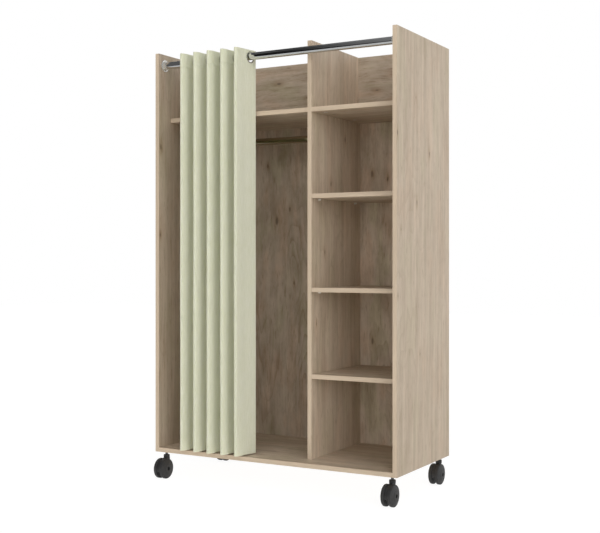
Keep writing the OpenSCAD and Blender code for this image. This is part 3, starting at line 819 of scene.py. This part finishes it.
def screw_tree():
    """A ring of cross-head screws round each point, on a disc that faces along X."""
    tree, n, v = geometry_tree("screws_round_flanges", [
        ("Screws", "NodeSocketInt", 3),
        ("Circle", "NodeSocketFloat", 0.019),
        ("Head", "NodeSocketFloat", 0.003),
        ("Dome", "NodeSocketFloat", 0.0009),
        ("Slot", "NodeSocketFloat", 0.0005),
        ("Material", "NodeSocketMaterial", None),
    ])
    head = n.add("GeometryNodeMeshCone", {"fill_type": "NGON"},
                 {"Vertices": 24, "Side Segments": 1, "Radius Top": v["Head"] * 0.72,
                  "Radius Bottom": v["Head"], "Depth": v["Dome"]}, out="Mesh")
    bars = n.add("GeometryNodeJoinGeometry")
    for size in (n.vector(v["Head"] * 1.15, v["Slot"], v["Dome"]),
                 n.vector(v["Slot"], v["Head"] * 1.15, v["Dome"])):
        cube = n.add("GeometryNodeMeshCube", None, {"Size": size}, out="Mesh")
        cube = n.add("GeometryNodeTransform", None,
                     {"Geometry": cube, "Translation": n.vector(0.0, 0.0, v["Dome"] * 0.75)})
        n.tree.links.new(cube.socket, bars.socket.node.inputs[0])
    head = n.add("GeometryNodeMeshBoolean", {"operation": "DIFFERENCE"},
                 {"Mesh 1": head, "Mesh 2": bars}, out="Mesh")
    ring = n.add("GeometryNodeMeshCircle", None, {"Vertices": v["Screws"], "Radius": v["Circle"]})
    screws = n.add("GeometryNodeInstanceOnPoints", None, {"Points": ring, "Instance": head})
    facing = n.add("GeometryNodeInputNamedAttribute", {"data_type": "FLOAT_VECTOR"},
                   {"Name": "facing"})
    turn = n.add("FunctionNodeAlignRotationToVector", {"axis": "Z"}, {"Vector": facing})
    flanges = n.add("GeometryNodeInstanceOnPoints", None,
                    {"Points": v["Geometry"], "Instance": screws, "Rotation": turn})
    close_tree(n, flanges, v["Material"])
    return tree


def line_mesh(name, lines):
    """Edges along each line of (point, facing) pairs, with the facing kept as an attribute."""
    points, edges, facings = [], [], []
    for line in lines:
        first = len(points)
        points += [p for p, _ in line]
        facings += [tuple(f) for _, f in line]
        edges += [(first + k, first + k + 1) for k in range(len(line) - 1)]
    mesh = bpy.data.meshes.new(name)
    mesh.from_pydata(points, edges, [])
    facing = mesh.attributes.new("facing", "FLOAT_VECTOR", "POINT")
    for k, value in enumerate(facings):
        facing.data[k].vector = value
    return mesh


# How far the thread stands off the cloth, how many points its seams have across and down, and how
# far from the side edges the seams across end
THREAD_LIFT = 0.08
SEAM_ACROSS = 520
SEAM_DOWN = 90
SEAM_END = 4.0


def sewn_line(marks, side):
    """A seam through (s, z) marks on one face of the cloth, each point facing along it."""
    points = [cloth_point(s, z, side, THREAD_LIFT) for s, z in marks]
    pairs = []
    for k, point in enumerate(points):
        ahead = points[min(k + 1, len(points) - 1)] - points[max(k - 1, 0)]
        pairs.append((point, ahead.normalized()))
    return pairs


def seams():
    low = CLOTH_LOW + LOW_HEM - SEAM_IN
    header = CLOTH_TOP - HEADER + SEAM_IN
    across = [CLOTH_L * (k + 0.5) / SEAM_ACROSS for k in range(SEAM_ACROSS)]
    across = [s for s in across if SEAM_END < s < CLOTH_L - SEAM_END]
    down = [CLOTH_LOW + 3 + (header - CLOTH_LOW - 6) * k / SEAM_DOWN
            for k in range(SEAM_DOWN + 1)]
    lines = [[(s, z) for s in across] for z in (low, header)]
    lines += [[(s, z) for z in down]
              for s in (SIDE_HEM - SEAM_IN, CLOTH_L - SIDE_HEM + SEAM_IN)]
    return [sewn_line(line, side) for line in lines for side in (1, -1)]


# Nails of the two back panels in carcass millimetres: the columns and rows they stand in, about
# how far apart, how far their heads are sunk into the rear face, and the metres of line for one
NAIL_COLUMNS = ((9.0, 622.0), (630.0, 991.0))
NAIL_LOW, NAIL_HIGH = 9.0, 1253.0
NAIL_PITCH = 150
NAIL_SUNK = 0.17
REAR_Y = 470.0
NAIL_LINE = 0.0002


def nail_points():
    """The nails round each back panel as short lines, so that each gives one bead."""
    rearward = (0, 1, 0)
    places = {}
    for left, right in NAIL_COLUMNS:
        corners = [(left, NAIL_LOW), (right, NAIL_LOW), (right, NAIL_HIGH), (left, NAIL_HIGH),
                   (left, NAIL_LOW)]
        for (x0, z0), (x1, z1) in zip(corners, corners[1:]):
            count = round(math.dist((x0, z0), (x1, z1)) / NAIL_PITCH)
            for k in range(count + 1):
                point = carcass(x0 + (x1 - x0) * k / count, REAR_Y - NAIL_SUNK,
                                z0 + (z1 - z0) * k / count)
                places.setdefault((round(point.x, 4), round(point.z, 4)), point)
    return [[(point, rearward), (point + Vector((NAIL_LINE, 0, 0)), rearward)]
            for point in places.values()]


# The middle of each flange's face and where it faces: the curtain rod's two, the hanging rail's
FLANGE_FACES = [
    ((18.5, 37.0, 1464.5), (1, 0, 0)),
    ((981.5, 37.0, 1464.5), (-1, 0, 0)),
    ((18.5, 271.0, 1182.0), (1, 0, 0)),
    ((615.5, 271.0, 1182.0), (-1, 0, 0)),
]


def cloth_ring(node, name):
    """The CAD ring's shape, its doubled points merged, as a piece that stands for the CAD node,
    which is hidden.
    """
    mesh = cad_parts[node].data.copy()
    mesh.name = name
    merged = bmesh.new()
    merged.from_mesh(mesh)
    bmesh.ops.remove_doubles(merged, verts=merged.verts, dist=1e-6)
    merged.to_mesh(mesh)
    merged.free()
    ring = new_piece(name, mesh)
    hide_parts(node)
    return ring


# ---- pieces -----------------------------------------------------------------------------------

# The curtain, its thread and the rings between its two ends, with their placing baked into their
# meshes
curtain = new_piece("eyelet_curtain", curtain_mesh())
beads = bead_tree()
stitching = grown("curtain_stitching", line_mesh("seam_lines", seams()), beads, {
    "Spacing": 0.004, "Size": (0.00028, 0.00028, 0.0016), "Segments": 5, "Rings": 3,
    "Uneven": 0.08, "Seed": 11, "Material": MATERIALS["thread"],
})
rings = [cloth_ring(f"eyelet_{n:02d}", f"eyelet_ring_{n:02d}") for n in range(2, 10)]
for piece in (curtain, stitching, *rings):
    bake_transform(piece)
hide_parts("curtain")

nails = grown("back_panel_nails", line_mesh("nail_places", nail_points()), beads, {
    "Spacing": 0.0005, "Size": (0.0024, 0.0024, 0.0002), "Segments": 12, "Rings": 6,
    "Uneven": 0.03, "Seed": 5, "Material": MATERIALS["cam_zinc"],
})
flange_mesh = line_mesh("flange_faces", [[(carcass(*p), f)] for p, f in FLANGE_FACES])
screws = grown("flange_screws", flange_mesh, screw_tree(), {"Material": MATERIALS["cam_zinc"]})
for piece in (nails, screws):
    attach(piece, "carcass")


# ---- studio -----------------------------------------------------------------------------------


# Floor: what it returns of plain light, what of a shadow on it the camera sees, its own glow on
# plain surfaces, in reflections and to the camera, which sees it white with the lamps' light on it
FLOOR_BOUNCE = 0.55
FLOOR_SHADE = 0.16
FLOOR_GLOW = 0.55
FLOOR_MIRRORED = 0.52
FLOOR_SEEN = 0.93

# What the world gives to plain surfaces, from all round and from behind on the left; the camera
# and reflections see it white
AMBIENT = 0.15
BEHIND = 0.65

# The plain light of the world and floor is a little warm
WARM = (1.0, 0.975, 0.92)

# Azimuth from the front towards the right, elevation, width of the source (degrees), strength
SUNS = {
    "sun_front": (0, 8, 50, 0.363),
    "sun_right": (30, 8, 50, 0.640),
    "sun_side": (59, 8, 50, 1.130),
    "sun_high": (45, 60, 50, 0.650),
}

# Cards that only reflections see: black, greyer towards the right and at the far left
CARDS = {
    "card_front": [(-9, -2.4, 0), (7, -2.4, 0), (7, -2.4, 4.5), (-9, -2.4, 4.5)],
    "card_above": [(-9, -2.4, 4.5), (7, -2.4, 4.5), (7, 5, 4.5), (-9, 5, 4.5)],
}

# Solved from the edges in the photograph: where the camera stands, degrees round to the right of
# the front, focal length and vertical shift
CAMERA_AT = (1.942, -3.4065, 0.821)
CAMERA_ROUND = 29.6
LENS_MM = 62.98
SENSOR_MM = 36.0
SHIFT_Y = -0.0089


def ray_kinds(nodes):
    """1 for what the camera sees, straight or through a surface; 1 for what reflections see."""
    path = nodes.add("ShaderNodeLightPath", out="Is Camera Ray")
    return path.calc("MAXIMUM", path.out("Is Transmission Ray")), path.out("Is Glossy Ray")


def floor_finish():
    material = bpy.data.materials.new("studio_floor")
    n = emptied(material)
    direct, mirrored = ray_kinds(n)
    seen = direct.calc("MAXIMUM", mirrored)
    shade = n.mix(seen, scaled(WARM, FLOOR_BOUNCE), (FLOOR_SHADE,) * 3)
    glow = (direct * (FLOOR_SEEN - FLOOR_GLOW) + mirrored * (FLOOR_MIRRORED - FLOOR_GLOW)
            + FLOOR_GLOW)
    diffuse = n.add("ShaderNodeBsdfDiffuse", None, {"Color": shade})
    light = n.add("ShaderNodeEmission", None,
                  {"Color": n.mix(seen, WARM, (1, 1, 1)), "Strength": glow})
    both = n.add("ShaderNodeAddShader", None, {0: diffuse, 1: light})
    clear = n.add("ShaderNodeBsdfTransparent")
    below = n.add("ShaderNodeNewGeometry", out="Backfacing")
    mixed = n.add("ShaderNodeMixShader", None, {0: below, 1: both, 2: clear})
    n.add("ShaderNodeOutputMaterial", None, {"Surface": mixed})
    return material


def card_finish():
    material = bpy.data.materials.new("studio_card")
    n = emptied(material)
    x, _, z = n.places()
    grey = (x + z * 0.24).rise(-0.85, 0.20) * 0.21 + x.rise(-1.65, -2.05) * 0.10 + 0.012
    glow = n.add("ShaderNodeEmission", None, {"Color": (1, 1, 1, 1), "Strength": grey})
    n.add("ShaderNodeOutputMaterial", None, {"Surface": glow})
    return material


def stage_plane(name, corners, material):
    mesh = bpy.data.meshes.new(name)
    mesh.from_pydata(corners, [], [tuple(range(len(corners)))])
    mesh.materials.append(material)
    plane = new_piece(name, mesh)
    return plane


stage_plane("floor", [(-12, -12, 0), (12, -12, 0), (12, 12, 0), (-12, 12, 0)], floor_finish())
card = card_finish()
for name, corners in CARDS.items():
    plane = stage_plane(name, corners, card)
    plane.visible_camera = False
    plane.visible_diffuse = False
    plane.visible_shadow = False
    plane.visible_transmission = False

world = bpy.data.worlds.new("studio")
bpy.context.scene.world = world
sky = emptied(world)
direct, mirrored = ray_kinds(sky)
seen = direct.calc("MAXIMUM", mirrored)
to_right, to_back, _ = sky.places("Generated")
plain = ((to_back - to_right) * math.sqrt(0.5)).calc("MAXIMUM", 0.0) * BEHIND + AMBIENT
back = sky.add("ShaderNodeBackground", None,
               {"Color": sky.mix(seen, WARM, (1, 1, 1)), "Strength": seen * (1 - plain) + plain})
sky.add("ShaderNodeOutputWorld", None, {"Surface": back})

for name, (azimuth, elevation, width, strength) in SUNS.items():
    lamp = bpy.data.lights.new(name, "SUN")
    lamp.angle = math.radians(width)
    lamp.energy = strength
    holder = bpy.data.objects.new(name, lamp)
    turn, rise = math.radians(azimuth), math.radians(elevation)
    source = Vector((math.sin(turn) * math.cos(rise), -math.cos(turn) * math.cos(rise),
                     math.sin(rise)))
    holder.rotation_euler = source.to_track_quat("Z", "Y").to_euler()
    holder.location = source * 4
    holder.visible_glossy = False
    holder.visible_camera = False
    bpy.context.scene.collection.objects.link(holder)

lens = bpy.data.cameras.new("camera")
lens.lens = LENS_MM
lens.sensor_width = SENSOR_MM
lens.shift_y = SHIFT_Y
camera = bpy.data.objects.new("camera", lens)
camera.location = CAMERA_AT
camera.rotation_euler = (math.radians(90), 0, math.radians(CAMERA_ROUND))
bpy.context.scene.collection.objects.link(camera)
bpy.context.scene.camera = camera
bpy.context.scene.view_settings.view_transform = "Standard"
